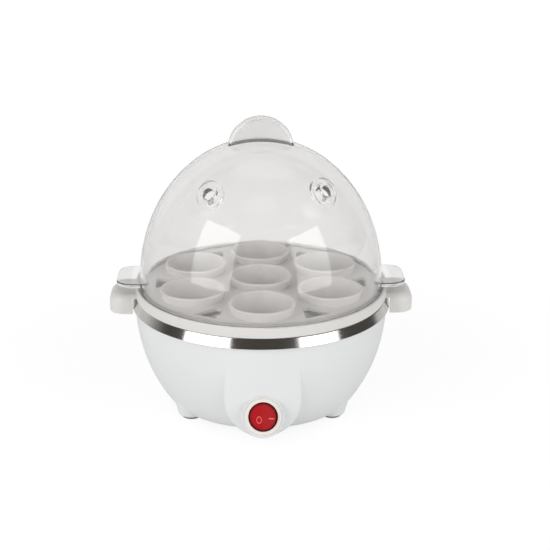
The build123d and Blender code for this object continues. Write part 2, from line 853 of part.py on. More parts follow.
# Switch housing: flange, tube, floor, trunnion seats, blade slots and a saddle for the lamp
rocker_radius = aperture_radius - slip_gap
arm_depth = rocker_pivot_depth + plunger_reach + arm_rest_gap + arm_sheet / 2
housing_floor_depth = switch_depth - switch_floor
lamp_depth = housing_floor_depth - lamp_height
trunnion_plane = Plane(
    origin=switch_plane.origin - switch_out * rocker_pivot_depth, x_dir=(1, 0, 0), z_dir=switch_up
)
blade_plane = switch_plane.offset(-switch_depth)
blade_places = [(-blade_spacing, 0), (0, 0), (blade_spacing, 0)]
lamp_plane = Plane(
    origin=switch_plane.origin - switch_out * lamp_depth + switch_up * lamp_offset,
    x_dir=switch_up,
    z_dir=(1, 0, 0),
)

with BuildPart() as switch_housing:
    with BuildSketch(switch_plane):
        Circle(switch_flange_radius)
    extrude(amount=switch_flange_height)
    flange_edge = switch_housing.edges().sort_by(Axis(switch_plane.origin, switch_out))[-1]
    fillet(flange_edge, radius=switch_flange_round)
    with BuildSketch(switch_plane):
        Circle(switch_tube_radius)
    extrude(amount=-switch_depth)
    with BuildSketch(switch_plane.offset(switch_flange_height)):
        Circle(aperture_radius)
    extrude(amount=-(switch_flange_height + housing_floor_depth), mode=Mode.SUBTRACT)
    with BuildSketch(switch_plane.offset(-housing_floor_depth)):
        with Locations((0, lamp_offset)):
            Rectangle(lamp_saddle_length, 2 * lamp_radius)
    extrude(amount=lamp_height)
    with BuildSketch(lamp_plane):
        Circle(lamp_radius + seat_gap)
    extrude(amount=lamp_length, both=True, mode=Mode.SUBTRACT)
    with BuildSketch(trunnion_plane):
        Circle(trunnion_radius + running_gap)
    extrude(amount=trunnion_reach + running_gap, both=True, mode=Mode.SUBTRACT)
    with BuildSketch(blade_plane):
        with Locations(*blade_places):
            Rectangle(blade_sheet + 2 * running_gap, blade_width + 2 * running_gap)
    extrude(amount=switch_floor, mode=Mode.SUBTRACT)
save(switch_housing.part, "switch_housing")

# Rocker at rest with its left half pressed in: a ball slice with two faces, trunnions and a stem
rocker_frame = tilted(rocker_pivot_depth, -rocker_throw / 2)
rocker_side = Plane(origin=rocker_frame.origin, x_dir=rocker_frame.x_dir, z_dir=-switch_up)
face_rise = rocker_radius * tan(radians(rocker_throw / 2))
stem_depth = rocker_skirt + stem_length
with BuildPart() as switch_rocker:
    with Locations(rocker_frame):
        Sphere(rocker_radius)
    with BuildSketch(rocker_side.offset(-rocker_radius)):
        Polygon(
            (-rocker_radius, -rocker_skirt),
            (rocker_radius, -rocker_skirt),
            (rocker_radius, rocker_face_height + face_rise),
            (0, rocker_face_height),
            (-rocker_radius, rocker_face_height + face_rise),
            align=None,
        )
    extrude(amount=2 * rocker_radius, mode=Mode.INTERSECT)
    with BuildSketch(trunnion_plane):
        Circle(trunnion_radius)
    extrude(amount=trunnion_reach, both=True)
    with BuildSketch(rocker_frame.offset(-rocker_skirt)):
        Circle(stem_radius)
    extrude(amount=-stem_length)
    with BuildSketch(rocker_frame.offset(-stem_depth)):
        Circle(plunger_radius + seat_gap)
    extrude(amount=plunger_length + spring_length - (plunger_reach - stem_depth), mode=Mode.SUBTRACT)
save(switch_rocker.part, "switch_rocker")

plunger_tip_plane = rocker_frame.offset(-plunger_reach)
with BuildPart() as rocker_plunger:
    with BuildSketch(plunger_tip_plane):
        Circle(plunger_radius)
    extrude(amount=plunger_length)
    tip_edge = rocker_plunger.edges().sort_by(Axis(plunger_tip_plane.origin, plunger_tip_plane.z_dir))[0]
    fillet(tip_edge, radius=plunger_tip_round)
save(rocker_plunger.part, "rocker_plunger")

with BuildPart() as plunger_spring:
    with BuildSketch(plunger_tip_plane.offset(plunger_length)):
        Circle(plunger_radius)
        Circle(spring_bore_radius, mode=Mode.SUBTRACT)
    extrude(amount=spring_length)
save(plunger_spring.part, "plunger_spring")

# Seesaw contact arm under the plunger, with a round rib on its pivot line
arm_frame = tilted(arm_depth, arm_throw / 2)
with BuildPart() as contact_arm:
    with BuildSketch(arm_frame):
        RectangleRounded(arm_length, arm_width, arm_corner)
    extrude(amount=arm_sheet / 2, both=True)
    with BuildSketch(Plane(origin=arm_frame.origin, x_dir=(1, 0, 0), z_dir=switch_up)):
        Circle(arm_pivot_radius)
    extrude(amount=arm_width / 2, both=True)
save(contact_arm.part, "contact_arm")

# Blades through the housing floor: fixed contact at the left, pivot in the middle, lamp tap at the right
arm_end_drop = arm_length / 2 * sin(radians(arm_throw / 2)) + arm_sheet
contact_top_depth = arm_depth + arm_end_drop
pivot_top_depth = arm_depth + arm_pivot_radius + slip_gap
with BuildPart() as switch_blades:
    with BuildSketch(blade_plane.offset(-blade_tail)):
        with Locations(*blade_places):
            Rectangle(blade_sheet, blade_width)
    extrude(amount=blade_tail + switch_floor)
    with BuildSketch(blade_plane.offset(switch_floor)):
        Rectangle(blade_sheet, arm_width)
    extrude(amount=housing_floor_depth - pivot_top_depth)
    with BuildSketch(blade_plane.offset(switch_floor)):
        with Locations(blade_places[0]):
            Circle(contact_radius)
    extrude(amount=housing_floor_depth - contact_top_depth)
save(switch_blades.part, "switch_blades")

with BuildPart() as switch_lamp:
    with BuildSketch(lamp_plane):
        Circle(lamp_radius)
    extrude(amount=lamp_length / 2, both=True)
save(switch_lamp.part, "switch_lamp")

# Cord gland through the back of the bowl, with its nut inside
with BuildPart() as cord_gland:
    with BuildSketch(gland_plane):
        Circle(gland_flange_radius)
    extrude(amount=gland_flange_height)
    with BuildSketch(gland_plane.offset(gland_flange_height)):
        Circle(gland_nose_radius)
    with BuildSketch(gland_plane.offset(gland_flange_height + gland_nose_length)):
        Circle(gland_tip_radius)
    loft()
    shank_length = gland_boss_reach - gland_boss_inner_reach + gland_nut_height + gland_shank_overhang
    with BuildSketch(gland_plane):
        Circle(gland_shank_radius)
    extrude(amount=-shank_length)
    with BuildSketch(gland_plane.offset(-shank_length)):
        Circle(gland_bore_radius)
    extrude(amount=shank_length + gland_flange_height + gland_nose_length, mode=Mode.SUBTRACT)
save(cord_gland.part, "cord_gland")

with BuildPart() as gland_nut:
    with BuildSketch(gland_plane.offset(gland_boss_inner_reach - gland_boss_reach)):
        RegularPolygon(gland_nut_radius, gland_nut_sides)
        Circle(gland_shank_radius + running_gap, mode=Mode.SUBTRACT)
    extrude(amount=-gland_nut_height)
save(gland_nut.part, "gland_nut")

# Inner wires: live through switch and thermostat, neutral through the fuse, lamp across the element
core_start_y = gland_boss_reach - shank_length
core_exit_y = core_start_y - core_exit_run
core_rise_y = core_start_y - neutral_run_out
blade_tips = [switch_plane.from_local_coords((x, 0, -switch_depth - blade_tail)) for x, _ in blade_places]
blade_runs = [tip - switch_out * wire_lead for tip in blade_tips]
blade_low_z = thermostat_low_z - thermostat_blade_length
pin_under_z = element_z - pin_radius - running_gap
fuse_end_x = fuse_length / 2 + fuse_lead_length
fuse_pin = right_end.origin + right_run * (insulator_length + pin_length * fuse_pin_share)
lamp_pin = right_end.origin + right_run * (insulator_length + pin_length * lamp_pin_share)
heater_pin = left_end.origin + left_run * (insulator_length + pin_length / 2)

live_wire = wire(
    [
        (-core_offset, core_start_y, gland_z),
        (-core_offset, core_exit_y, gland_z),
        (-live_wire_x, live_turn_back_y, live_wire_z),
        (-live_wire_x, live_turn_front_y, live_wire_z),
        blade_runs[0],
        blade_tips[0],
    ],
    wire_bend,
)
save(live_wire, "live_wire")

neutral_wire = wire(
    [
        (core_offset, core_start_y, gland_z),
        (core_offset, core_rise_y, gland_z),
        (core_offset, core_rise_y, neutral_rise_z),
        (-fuse_end_x - neutral_run_in, core_rise_y, neutral_rise_z),
        (-fuse_end_x - neutral_run_in, fuse_y, fuse_z),
        (-fuse_end_x, fuse_y, fuse_z),
    ],
    tight_wire_bend,
)
save(neutral_wire, "neutral_wire")

fuse_wire = wire(
    [
        (fuse_end_x, fuse_y, fuse_z),
        (fuse_wire_x, fuse_y, fuse_z),
        (fuse_wire_x, fuse_y, fuse_wire_z),
        (fuse_wire_x, fuse_turn_front_y, fuse_wire_z),
        (fuse_pin.X, fuse_pin.Y, fuse_wire_z),
        (fuse_pin.X, fuse_pin.Y, pin_under_z),
    ],
    tight_wire_bend,
)
save(fuse_wire, "fuse_wire")

switched_wire = wire(
    [
        blade_tips[1],
        blade_runs[1],
        (thermostat_blade_offset, switched_turn_y, switched_wire_z),
        (thermostat_blade_offset, 0, switched_wire_z),
        (thermostat_blade_offset, 0, blade_low_z),
    ],
    wire_bend,
)
save(switched_wire, "switched_wire")

heater_wire = wire(
    [
        (-thermostat_blade_offset, 0, blade_low_z),
        (-thermostat_blade_offset, 0, heater_wire_z),
        (heater_pin.X, heater_pin.Y, heater_wire_z),
        (heater_pin.X, heater_pin.Y, pin_under_z),
    ],
    tight_wire_bend,
)
save(heater_wire, "heater_wire")

lamp_wire = wire(
    [
        blade_tips[2],
        blade_runs[2],
        (lamp_pin.X, lamp_pin.Y, heater_wire_z),
        (lamp_pin.X, lamp_pin.Y, pin_under_z),
    ],
    tight_wire_bend,
)
save(lamp_wire, "lamp_wire")

# Egg tray: rim band, floor, locating ring, seven open egg seats, steam slots and two ears
seat_places = [(0, 0)] + [
    (egg_circle_radius * sin(radians(turn)), -egg_circle_radius * cos(radians(turn)))
    for turn in range(0, 360, 360 // outer_seat_count)
]
cup_outside = cup_cone(cup_wall, 0, 0)
cup_inside = cup_cone(0, overrun, overrun)
ear_top_z = rim_top_z + tray_ear_lift + tray_ear_wall
ear_low_z = ear_top_z - tray_ear_drop
ear_outside = ear_outline(tray_ear_reach, tray_ear_half_width, tray_ear_corner)
ear_inside = ear_outline(
    tray_ear_reach - tray_ear_wall,
    tray_ear_half_width - tray_ear_wall,
    tray_ear_corner - tray_ear_wall,
)

with BuildSketch(Plane.XY) as steam_slot:
    Polygon(
        (steam_slot_inner, -steam_slot_inner_half_width),
        (steam_slot_outer, -steam_slot_outer_half_width),
        (steam_slot_outer, steam_slot_outer_half_width),
        (steam_slot_inner, steam_slot_inner_half_width),
        align=None,
    )
    fillet(steam_slot.vertices(), radius=steam_slot_round)

with BuildPart() as tray_ear:
    with BuildSketch(Plane.XY.offset(ear_low_z)):
        add(ear_outside)
    extrude(amount=tray_ear_drop)
    ear_rim = tray_ear.faces().sort_by(Axis.Z)[-1].edges().sort_by(Axis.X)[1:]
    fillet(ear_rim, radius=tray_ear_round)
    with BuildSketch(Plane.XY.offset(ear_low_z)):
        add(ear_inside)
    extrude(amount=tray_ear_drop - tray_ear_wall, mode=Mode.SUBTRACT)
    with BuildSketch(Plane.XY.offset(ear_low_z)):
        Circle(rim_radius + slip_gap)
    extrude(amount=rim_top_z - ear_low_z, mode=Mode.SUBTRACT)
    with BuildSketch(Plane.XY.offset(ear_low_z)):
        Circle(tray_radius - tray_rim_wall / 2)
    extrude(amount=tray_ear_drop, mode=Mode.SUBTRACT)

with BuildPart() as egg_cup:
    add(cup_outside)
    add(cup_inside, mode=Mode.SUBTRACT)
    fillet(egg_cup.edges().group_by(Axis.Z)[-1], radius=cup_lip_round)

with BuildPart() as egg_tray:
    with BuildSketch(Plane.XY.offset(rim_top_z)):
        Circle(tray_radius)
        Circle(tray_radius - tray_rim_wall, mode=Mode.SUBTRACT)
    extrude(amount=tray_rim_height)
    fillet(egg_tray.edges().group_by(Axis.Z)[-1], radius=tray_rim_round)
    with BuildSketch(Plane.XY.offset(tray_floor_under_z)):
        Circle(tray_radius - tray_rim_wall / 2)
    extrude(amount=tray_floor_sheet)
    with BuildSketch(Plane.XY.offset(tray_floor_under_z)):
        Circle(tray_locator_radius)
        Circle(tray_locator_radius - tray_locator_wall, mode=Mode.SUBTRACT)
    extrude(amount=rim_top_z - tray_locator_depth - tray_floor_under_z)
    with PolarLocations(0, ear_count):
        add(tray_ear.part)
    with Locations(*seat_places):
        add(cup_inside, mode=Mode.SUBTRACT)
    with Locations(*seat_places):
        add(egg_cup.part)
    with BuildSketch(Plane.XY.offset(tray_floor_under_z)):
        with PolarLocations(0, outer_seat_count):
            add(steam_slot.sketch)
    extrude(amount=tray_floor_sheet, mode=Mode.SUBTRACT)
save(egg_tray.part, "egg_tray")

# Lid: dome with a hollow fin, two raised vents, a foot ring and two flat ears
vent_z = lid_mid_z + lid_dome_height * sqrt(1 - (vent_circle_radius / lid_radius) ** 2)
vent_planes = []
for vent_azimuth in (vent_turn - vent_angle, vent_turn + vent_angle):
    vent_out = Vector(sin(radians(vent_azimuth)), -cos(radians(vent_azimuth)), 0)
    vent_place = vent_out * vent_circle_radius + Vector(0, 0, vent_z)
    vent_axis = vent_out + Vector(0, 0, tan(radians(vent_axis_rise)))
    vent_side = Vector(cos(radians(vent_azimuth)), sin(radians(vent_azimuth)), 0)
    vent_planes.append(Plane(origin=vent_place, x_dir=vent_side, z_dir=vent_axis))
lid_ear_low_z = lid_mid_z - lid_ear_low_drop
dome_outside = dome_solid(0, lid_low_z)
dome_inside = dome_solid(lid_wall, lid_low_z - overrun)
fin_outside = fin_solid(0, fin_round)
fin_inside = fin_solid(lid_wall, fin_inner_round)
lid_ear_flat = ear_outline(lid_ear_reach, lid_ear_half_width, lid_ear_corner)

with BuildPart() as lid_ear:
    with BuildSketch(Plane.XY.offset(lid_ear_low_z)):
        add(lid_ear_flat)
    extrude(amount=lid_ear_sheet)
    fillet(lid_ear.faces().sort_by(Axis.Z)[-1].edges().sort_by(Axis.X)[1:], radius=lid_ear_round)
    fillet(lid_ear.faces().sort_by(Axis.Z)[0].edges().sort_by(Axis.X)[1:], radius=lid_ear_round)

with BuildPart() as vent_collar:
    with BuildSketch(Plane.XZ):
        Polygon(
            (0, -vent_root),
            (vent_lip_radius, -vent_root),
            (vent_lip_radius, vent_lip_rise),
            (vent_lip_radius - vent_lip_wall, vent_lip_rise),
            (vent_lip_radius - vent_lip_wall, vent_groove_rise),
            (vent_neck_radius, vent_groove_rise),
            (vent_tip_radius, vent_rise),
            (0, vent_rise),
            align=None,
        )
    revolve(axis=Axis.Z)
    vent_rings = vent_collar.edges().filter_by(GeomType.CIRCLE).group_by(Axis.Z)
    fillet(vent_rings[-1], radius=vent_tip_round)
    fillet(vent_rings[2], radius=vent_lip_round)

with BuildPart() as lid:
    add(dome_outside)
    add(fin_outside)
    with BuildSketch(Plane.XY.offset(lid_low_z)):
        Circle(lid_foot_radius)
    extrude(amount=lid_foot_height)
    with PolarLocations(0, ear_count):
        add(lid_ear.part)
    for vent_plane in vent_planes:
        with Locations(vent_plane):
            add(vent_collar.part)
    add(dome_inside, mode=Mode.SUBTRACT)
    add(fin_inside, mode=Mode.SUBTRACT)
    for vent_plane in vent_planes:
        with BuildSketch(vent_plane.offset(vent_rise)):
            Circle(vent_hole_radius)
        extrude(amount=-(vent_rise + vent_root + lid_wall), mode=Mode.SUBTRACT)
save(lid.part, "lid")
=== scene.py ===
"""Looks of the electric egg cooker: its finishes, the marks on its rocker, and a plain studio."""

import json
import math

import bpy
from bpy.props import FloatProperty, FloatVectorProperty, PointerProperty
from mathutils import Matrix, Vector


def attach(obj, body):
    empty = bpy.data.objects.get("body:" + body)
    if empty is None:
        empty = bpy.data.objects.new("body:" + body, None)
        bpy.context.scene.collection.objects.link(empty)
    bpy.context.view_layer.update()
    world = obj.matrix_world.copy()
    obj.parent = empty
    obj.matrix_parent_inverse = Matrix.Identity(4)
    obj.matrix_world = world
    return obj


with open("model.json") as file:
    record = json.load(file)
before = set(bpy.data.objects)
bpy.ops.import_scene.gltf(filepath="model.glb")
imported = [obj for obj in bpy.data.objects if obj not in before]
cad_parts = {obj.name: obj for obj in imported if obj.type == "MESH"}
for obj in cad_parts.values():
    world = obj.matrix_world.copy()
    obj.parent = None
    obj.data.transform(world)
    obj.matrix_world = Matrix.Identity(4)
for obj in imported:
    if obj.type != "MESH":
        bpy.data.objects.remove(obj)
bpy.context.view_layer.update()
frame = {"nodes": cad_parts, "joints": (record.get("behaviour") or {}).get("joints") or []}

bl_info = {
    "name": "Egg cooker looks",
    "version": (1, 0, 0),
    "blender": (4, 5, 0),
    "location": "View3D > Sidebar > Egg cooker",
    "description": "Finishes the egg cooker's pieces and sets a plain studio round them",
    "category": "Object",
}

cad_nodes = frame["nodes"]
rocker_joint = next(joint for joint in frame["joints"] if joint["name"] == "rocker_tilt")

# Settings that a user may change


def colour_property(name, description, default):
    """A colour that a user may change."""
    return FloatVectorProperty(
        name=name, description=description, subtype="COLOR", size=3, min=0, max=1, default=default
    )


def length_property(name, description, default):
    """A length in metres that a user may change."""
    return FloatProperty(
        name=name,
        description=description,
        subtype="DISTANCE",
        unit="LENGTH",
        precision=5,
        default=default,
    )


def angle_property(name, description, degrees):
    """An angle that a user may change."""
    return FloatProperty(
        name=name,
        description=description,
        subtype="ANGLE",
        unit="ROTATION",
        default=math.radians(degrees),
    )


class CookerFinish(bpy.types.PropertyGroup):
    """Colours of the pieces that show."""

    bowl_white: colour_property("Bowl white", "Moulded bowl of the base", (0.772, 0.784, 0.778))
    tray_white: colour_property("Tray white", "Egg tray", (0.715, 0.697, 0.675))
    lid_tint: colour_property("Lid tint", "Clear plastic of the lid", (0.925, 0.915, 0.909))
    rocker_red: colour_property("Rocker red", "Rocker of the switch", (0.43, 0.0095, 0.012))
    # Painted shade: a darker red along the rocker's rim where it sinks into its housing
    rim_shade_red: colour_property("Edge red", "Rocker's edge in its housing", (0.1, 0.002, 0.004))
    mark_pink: colour_property("Mark colour", "Ring and bar on the rocker", (0.83, 0.135, 0.135))
    housing_cream: colour_property("Housing cream", "Ring round the rocker", (0.85, 0.79, 0.735))
    rim_steel: colour_property("Rim steel", "Pressed steel dish and its rim", (0.78, 0.77, 0.745))
    pad_grey: colour_property("Pad grey", "Soft pads under the legs", (0.22, 0.22, 0.22))


class CookerWorks(bpy.types.PropertyGroup):
    """Colours of the pieces below and inside the base."""

    cover_grey: colour_property("Cover grey", "Bottom cover and gland", (0.62, 0.63, 0.63))
    seal_beige: colour_property("Seal beige", "Silicone seal of the dish", (0.62, 0.59, 0.55))
    zinc_grey: colour_property("Zinc grey", "Plated screws and clips", (0.62, 0.62, 0.6))
    cast_grey: colour_property("Cast grey", "Aluminium plate and caps", (0.66, 0.66, 0.66))
    sheath_brown: colour_property("Sheath brown", "Heating element", (0.2, 0.19, 0.175))
    brass_yellow: colour_property("Brass yellow", "Blades and contact arm", (0.68, 0.5, 0.2))
    ceramic_cream: colour_property("Ceramic cream", "Element's insulators", (0.78, 0.75, 0.69))
    body_black: colour_property("Body black", "Body of the thermostat", (0.02, 0.02, 0.02))
    nylon_cream: colour_property("Nylon cream", "Plunger and gland nut", (0.68, 0.66, 0.6))
    sleeve_brown: colour_property("Sleeve brown", "Live wires", (0.11, 0.045, 0.018))
    sleeve_blue: colour_property("Sleeve blue", "Neutral wires", (0.02, 0.07, 0.28))
    lamp_amber: colour_property("Lamp amber", "Glass of the switch lamp", (0.95, 0.72, 0.5))


class CookerMarks(bpy.types.PropertyGroup):
    """Sizes of the two marks on the rocker."""

    ring_height: length_property("Ring height", "Height of the ring mark", 0.0044)
    ring_width_share: FloatProperty(
        name="Ring width", description="Width over height", default=0.72
    )
    ring_line: length_property("Ring line", "Thickness of the ring's line", 0.00062)
    bar_length: length_property("Bar length", "Length of the bar mark", 0.0034)
    bar_line: length_property("Bar line", "Thickness of the bar", 0.0008)
    ring_offset: length_property("Ring offset", "From the rocker's ridge to the ring", 0.0019)
    ring_drop: length_property("Ring drop", "From the rocker's middle down to the ring", 0.0018)
    bar_offset: length_property("Bar offset", "From the rocker's ridge to the bar", 0.0058)
    bar_drop: length_property("Bar drop", "From the rocker's middle down to the bar", 0.0008)


class CookerStage(bpy.types.PropertyGroup):
    """Camera and lights."""

    camera_distance: length_property("Camera distance", "From the camera to the aim point", 0.8)
    camera_rise: angle_property("Camera rise", "Camera's angle above level", 20.86)
    camera_turn: angle_property("Camera turn", "Camera's angle to the right of the front", -0.9)
    camera_lens: FloatProperty(
        name="Camera lens", description="Focal length", unit="CAMERA", default=82.15
    )
    camera_shift: FloatVectorProperty(
        name="Camera shift",
        description="Shift of the frame to the right and up, as shares of its width",
        size=2,
        precision=4,
        default=(0.0256, 0.0358),
    )
    aim_height: length_property("Aim height", "Height of the aim point on the bowl's axis", 0.069)
    light_distance: length_property("Light distance", "From each softbox to the lid", 1.0)
    light_power: FloatProperty(
        name="Light power", description="Power of the left softbox", unit="POWER", default=4.2
    )


# Parts of shader trees


def feed(tree, source, target):
    """Links a socket to an input, or sets the input to a number or a colour."""
    if isinstance(source, bpy.types.NodeSocket):
        tree.links.new(source, target)
    elif isinstance(source, (int, float)):
        target.default_value = source
    else:
        target.default_value = (*source, 1)


def noise(tree, vector, scale, detail, roughness=0.5):
    """A noise texture on the given vector."""
    texture = tree.nodes.new("ShaderNodeTexNoise")
    texture.inputs["Detail"].default_value = detail
    texture.inputs["Roughness"].default_value = roughness
    tree.links.new(vector, texture.inputs["Vector"])
    feed(tree, scale, texture.inputs["Scale"])
    return texture.outputs["Fac"]


def blended(tree, factor, first, second):
    """A mix of two colours."""
    mix = tree.nodes.new("ShaderNodeMix")
    mix.data_type = "RGBA"
    factor_input, first_input, second_input = mix.inputs[0], mix.inputs[6], mix.inputs[7]
    feed(tree, factor, factor_input)
    feed(tree, first, first_input)
    feed(tree, second, second_input)
    return mix.outputs[2]


def calculated(tree, operation, *values):
    """The result of a Math node on sockets and numbers."""
    math_node = tree.nodes.new("ShaderNodeMath")
    math_node.operation = operation
    for value, target in zip(values, math_node.inputs):
        feed(tree, value, target)
    return math_node.outputs[0]


def smooth_step(tree, value, start, end, low=0.0, high=1.0):
    """A smooth change from low to high while the value goes from start to end."""
    step = tree.nodes.new("ShaderNodeMapRange")
    step.interpolation_type = "SMOOTHSTEP"
    step.inputs["From Min"].default_value = start
    step.inputs["From Max"].default_value = end
    step.inputs["To Min"].default_value = low
    step.inputs["To Max"].default_value = high
    tree.links.new(value, step.inputs["Value"])
    return step.outputs["Result"]


def length_of(tree, vector):
    """The length of a vector."""
    length = tree.nodes.new("ShaderNodeVectorMath")
    length.operation = "LENGTH"
    tree.links.new(vector, length.inputs[0])
    return length.outputs["Value"]


def axes_of(tree, vector):
    """The X, Y and Z of a vector, by name."""
    split = tree.nodes.new("ShaderNodeSeparateXYZ")
    tree.links.new(vector, split.inputs[0])
    return split.outputs


def place_on_piece(tree):
    """Places on the piece itself, in metres."""
    return tree.nodes.new("ShaderNodeTexCoord").outputs["Object"]


# Skins that the materials share

SKIN_INPUTS = (
    ("Vector", "Vector"),
    ("Colour", "Color"),
    ("Shade", "Color"),
    ("Roughness", "Float"),
    ("Gloss spread", "Float"),
)
SKIN_OUTPUTS = (("Colour", "Color"), ("Roughness", "Float"), ("Height", "Float"))
NOISE_MEAN = 0.5
MOTTLE_SCALE = 26.0
WIPE_SCALE = 38.0
# How far the lines on metal wander on their way round, and their part in its gloss
LINE_DRIFT = 0.0004
LINE_GLOSS_SHARE = 0.6
METAL_SHADE_SHARE = 0.9
METAL_GLOSS_SPREAD = 0.08
RELIEF_DEPTH = 0.0002
PLAIN_IOR = 1.5


def new_skin(name, *scale_names):
    """An empty skin group with a scale for each pattern, and its input and output nodes."""
    group = bpy.data.node_groups.new(name, "ShaderNodeTree")
    scales = tuple((scale_name, "Float") for scale_name in scale_names)
    for in_out, sockets in (("INPUT", SKIN_INPUTS + scales), ("OUTPUT", SKIN_OUTPUTS)):
        for socket_name, kind in sockets:
            group.interface.new_socket(socket_name, in_out=in_out, socket_type=f"NodeSocket{kind}")
    return group, group.nodes.new("NodeGroupInput"), group.nodes.new("NodeGroupOutput")


def put_out_skin(group, given, result, mottle, swing, height):
    """Puts out a skin's colour, gloss and relief."""
    colour = blended(group, mottle, given.outputs["Colour"], given.outputs["Shade"])
    spread, middle = given.outputs["Gloss spread"], given.outputs["Roughness"]
    gloss = calculated(group, "MULTIPLY_ADD", swing, spread, middle)
    group.links.new(colour, result.inputs["Colour"])
    group.links.new(gloss, result.inputs["Roughness"])
    group.links.new(height, result.inputs["Height"])


def build_moulded_skin():
    """Skin of a moulded piece: broad mottle in colour and gloss, and a fine spark-eroded grain."""
    group, given, result = new_skin("Moulded skin", "Mottle scale", "Grain scale")
    place = given.outputs["Vector"]
    mottle = noise(group, place, given.outputs["Mottle scale"], detail=3)
    grain = noise(group, place, given.outputs["Grain scale"], detail=4, roughness=0.65)
    swing = calculated(group, "SUBTRACT", mottle, NOISE_MEAN)
    put_out_skin(group, given, result, mottle, swing, grain)


def build_turned_metal():
    """Metal with fine lines that run round the upright axis, broken by soft wipe marks."""
    group, given, result = new_skin("Turned metal", "Line scale")
    place = given.outputs["Vector"]
    axes = axes_of(group, place)
    flat = group.nodes.new("ShaderNodeCombineXYZ")
    group.links.new(axes["X"], flat.inputs["X"])
    group.links.new(axes["Y"], flat.inputs["Y"])
    around = calculated(group, "ARCTAN2", axes["Y"], axes["X"])
    lines_at = group.nodes.new("ShaderNodeCombineXYZ")
    group.links.new(length_of(group, flat.outputs[0]), lines_at.inputs["X"])
    group.links.new(axes["Z"], lines_at.inputs["Y"])
    group.links.new(calculated(group, "MULTIPLY", around, LINE_DRIFT), lines_at.inputs["Z"])
    line_scale = given.outputs["Line scale"]
    lines = noise(group, lines_at.outputs[0], line_scale, detail=5, roughness=0.7)
    wipes = noise(group, place, WIPE_SCALE, detail=3)
    both = calculated(group, "MULTIPLY_ADD", lines, LINE_GLOSS_SHARE, wipes)
    swing = calculated(group, "SUBTRACT", both, NOISE_MEAN * (1 + LINE_GLOSS_SHARE))
    put_out_skin(group, given, result, wipes, swing, lines)


def surface(name, skin, values, bump, metallic):
    """A material whose colour, gloss and relief come from a shared skin."""
    material = bpy.data.materials.new(name)
    material.use_nodes = True
    tree = material.node_tree
    shader = tree.nodes["Principled BSDF"]
    group = tree.nodes.new("ShaderNodeGroup")
    group.node_tree = bpy.data.node_groups[skin]
    tree.links.new(place_on_piece(tree), group.inputs["Vector"])
    for socket_name, value in values.items():
        feed(tree, value, group.inputs[socket_name])
    relief = tree.nodes.new("ShaderNodeBump")
    relief.inputs["Strength"].default_value = bump
    relief.inputs["Distance"].default_value = RELIEF_DEPTH
    tree.links.new(group.outputs["Height"], relief.inputs["Height"])
    tree.links.new(group.outputs["Colour"], shader.inputs["Base Color"])
    tree.links.new(group.outputs["Roughness"], shader.inputs["Roughness"])
    tree.links.new(relief.outputs["Normal"], shader.inputs["Normal"])
    shader.inputs["Metallic"].default_value = metallic
    shader.inputs["IOR"].default_value = PLAIN_IOR
    return material


def darker(colour, share):
    """A colour with each channel cut to a share."""
    return [channel * share for channel in colour]


def moulded(name, colour, roughness, grain=1400.0, bump=0.1, darken=0.96, spread=0.1):
    """A moulded plastic or rubber."""
    values = {
        "Colour": colour,
        "Shade": darker(colour, darken),
        "Roughness": roughness,
        "Gloss spread": spread,
        "Mottle scale": MOTTLE_SCALE,
        "Grain scale": grain,
    }
    return surface(name, "Moulded skin", values, bump, metallic=0.0)


def metal(name, colour, roughness, line_scale=2600.0, bump=0.05):
    """A bare metal with lines round the upright axis."""
    values = {
        "Colour": colour,
        "Shade": darker(colour, METAL_SHADE_SHARE),
        "Roughness": roughness,
        "Gloss spread": METAL_GLOSS_SPREAD,
        "Line scale": line_scale,
    }
    return surface(name, "Turned metal", values, bump, metallic=1.0)


def tint_where(material, mask, colour):
    """Turns a material's colour to another one where the mask is 1."""
    tree = material.node_tree
    base = tree.nodes["Principled BSDF"].inputs["Base Color"]
    tree.links.new(blended(tree, mask, base.links[0].from_socket, colour), base)


def wear(material, *node_names):
    """Gives CAD nodes one material."""
    for node_name in node_names:
        node = cad_nodes[node_name]
        node.data.materials.clear()
        node.data.materials.append(material)


# Pieces


class CookerOperator:
    """What the operators share."""

    bl_options = {"REGISTER", "UNDO"}


class EGGCOOKER_OT_base(CookerOperator, bpy.types.Operator):
    """Finish the bowl, its pads, the bottom cover and the cord gland"""

    bl_idname = "egg_cooker.base"
    bl_label = "Base"

    def execute(self, context):
        look, works = context.scene.cooker_finish, context.scene.cooker_works
        wear(moulded("Bowl plastic", look.bowl_white, roughness=0.4), "base_shell")
        rubber = moulded(
            "Pad rubber", look.pad_grey, roughness=0.75, grain=900.0, bump=0.35, darken=0.8
        )
        wear(
            rubber,
            "foot_pad_front_left",
            "foot_pad_front_right",
            "foot_pad_rear_left",
            "foot_pad_rear_right",
        )
        wear(
            moulded("Cover plastic", works.cover_grey, roughness=0.6, grain=800.0, bump=0.4),
            "bottom_cover",
            "cord_gland",
        )
        return {"FINISHED"}


class EGGCOOKER_OT_dish(CookerOperator, bpy.types.Operator):
    """Finish the steel dish and its soft seal"""

    bl_idname = "egg_cooker.dish"
    bl_label = "Heating dish"

    def execute(self, context):
        look, works = context.scene.cooker_finish, context.scene.cooker_works
        wear(metal("Dish steel", look.rim_steel, roughness=0.12), "heating_dish")
        wear(
            moulded("Seal silicone", works.seal_beige, roughness=0.7, grain=700.0, bump=0.3),
            "dish_gasket",
        )
        return {"FINISHED"}


class EGGCOOKER_OT_tray(CookerOperator, bpy.types.Operator):
    """Finish the egg tray"""

    bl_idname = "egg_cooker.tray"
    bl_label = "Egg tray"

    def execute(self, context):
        look = context.scene.cooker_finish
        wear(moulded("Tray plastic", look.tray_white, roughness=0.42), "egg_tray")
        return {"FINISHED"}


# Where the lid's fin and ears start, which are tinted deeper than the dome: painted shade, so that
# they look dimmer, as if less light came through them
FIN_HEIGHTS = (0.166, 0.172)
EAR_REACHES = (0.08, 0.083)
FIN_AND_EAR_SHADE_SHARE = 0.89
# What the lid takes off its own shadow
SHADOW_CUT_SHARE = 0.97


